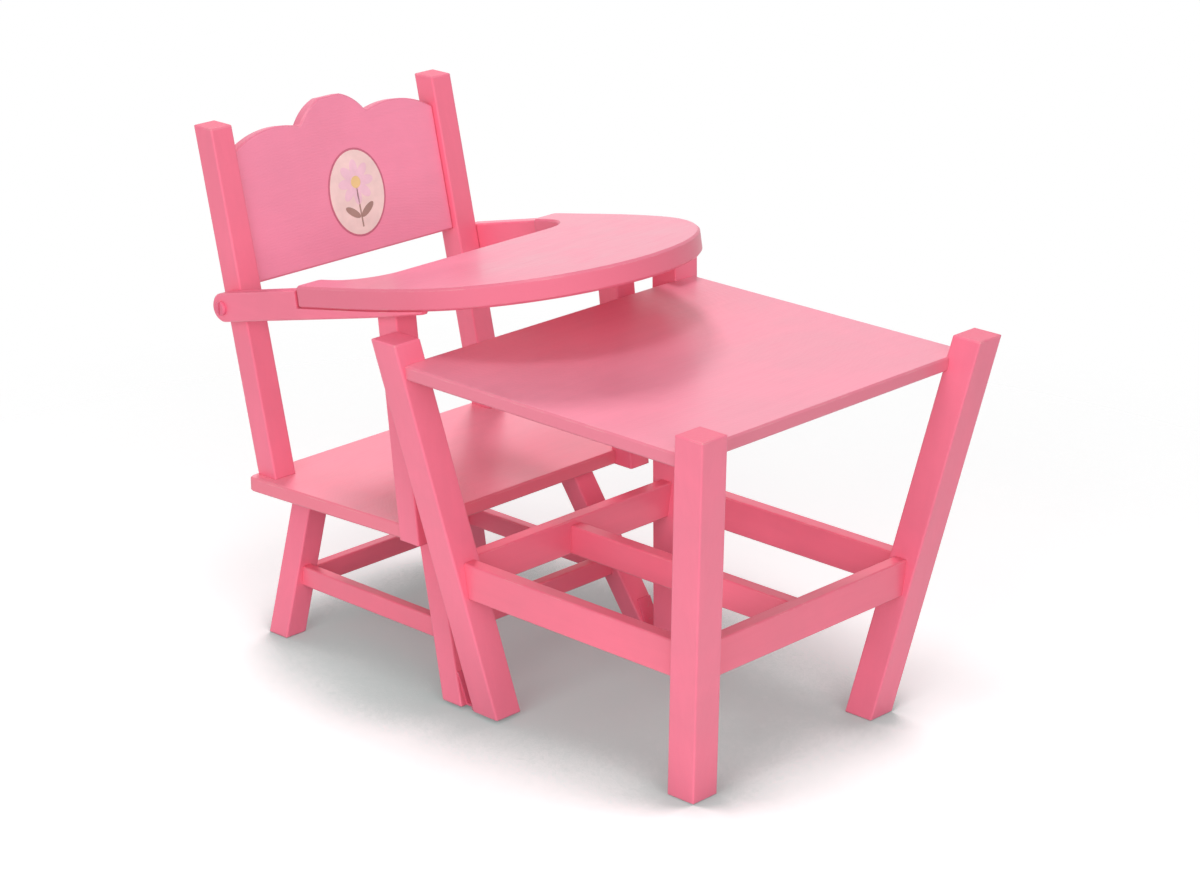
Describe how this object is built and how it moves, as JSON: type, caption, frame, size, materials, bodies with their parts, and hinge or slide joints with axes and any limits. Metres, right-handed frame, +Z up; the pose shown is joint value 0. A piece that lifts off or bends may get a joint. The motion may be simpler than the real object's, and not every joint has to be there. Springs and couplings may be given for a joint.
{
  "type": "doll_chair",
  "caption": "Painted wooden doll's high chair opened flat into a low chair with a tray and a square play table hinged at its feet",
  "frame": {"origin": "On the floor at the centre of the footprint's extent, midway between the two halves' feet under the fold line", "axes": "+X to the seated doll's left, +Y from the table towards the back of the chair, +Z up"},
  "size_m": [0.2784, 0.4807, 0.3542],
  "materials": {
    "top_paint": "light pink satin paint on wood board",
    "leg_paint": "pink satin paint on solid wood",
    "panel_paint": "pink satin paint on wood board",
    "rail_paint": "pink satin paint on solid wood",
    "hinge_paint": "pink paint over steel",
    "screw_steel": "zinc plated steel",
    "pin_steel": "plain steel",
    "dowel_wood": "bare beech"
  },
  "bodies": {
    "chair": {"seat_board": "top_paint", "back_post_left": "leg_paint", "back_post_right": "leg_paint", "back_panel": "panel_paint", "arm_support_left": "leg_paint", "arm_support_right": "leg_paint", "chair_leg_front_left": "leg_paint", "chair_leg_front_right": "leg_paint", "chair_leg_rear_left": "leg_paint", "chair_leg_rear_right": "leg_paint", "chair_stretcher_front": "rail_paint", "chair_stretcher_rear": "rail_paint", "chair_stretcher_left": "rail_paint", "chair_stretcher_right": "rail_paint", "chair_dowels": "dowel_wood", "chair_hinge_leaf_left": "hinge_paint", "chair_hinge_leaf_right": "hinge_paint", "chair_hinge_screws": "hinge_paint", "hinge_pins": "pin_steel", "pivot_pins": "hinge_paint", "seat_screws": "screw_steel"},
    "tray": {"arm_left": "leg_paint", "arm_right": "leg_paint", "tray_board": "top_paint", "tray_screws": "screw_steel"},
    "table": {"table_leg_rear_left": "leg_paint", "table_leg_rear_right": "leg_paint", "table_leg_front_left": "leg_paint", "table_leg_front_right": "leg_paint", "table_board": "top_paint", "table_stretcher_front": "rail_paint", "table_stretcher_rear": "rail_paint", "table_stretcher_left": "rail_paint", "table_stretcher_right": "rail_paint", "table_centre_rail": "rail_paint", "table_dowels": "dowel_wood", "table_hinge_leaf_left": "hinge_paint", "table_hinge_leaf_right": "hinge_paint", "table_hinge_screws": "hinge_paint"}
  },
  "joints": [
    {"name": "table_fold", "type": "hinge", "parent": "chair", "child": "table", "pos_m": [0, 0, 0.0018], "axis": [1, 0, 0], "range_deg": [0, 178.5]},
    {"name": "tray_lift", "type": "hinge", "parent": "chair", "child": "tray", "pos_m": [0, 0.20485, 0.236], "axis": [-1, 0, 0], "range_deg": [0, 70]}
  ]
}
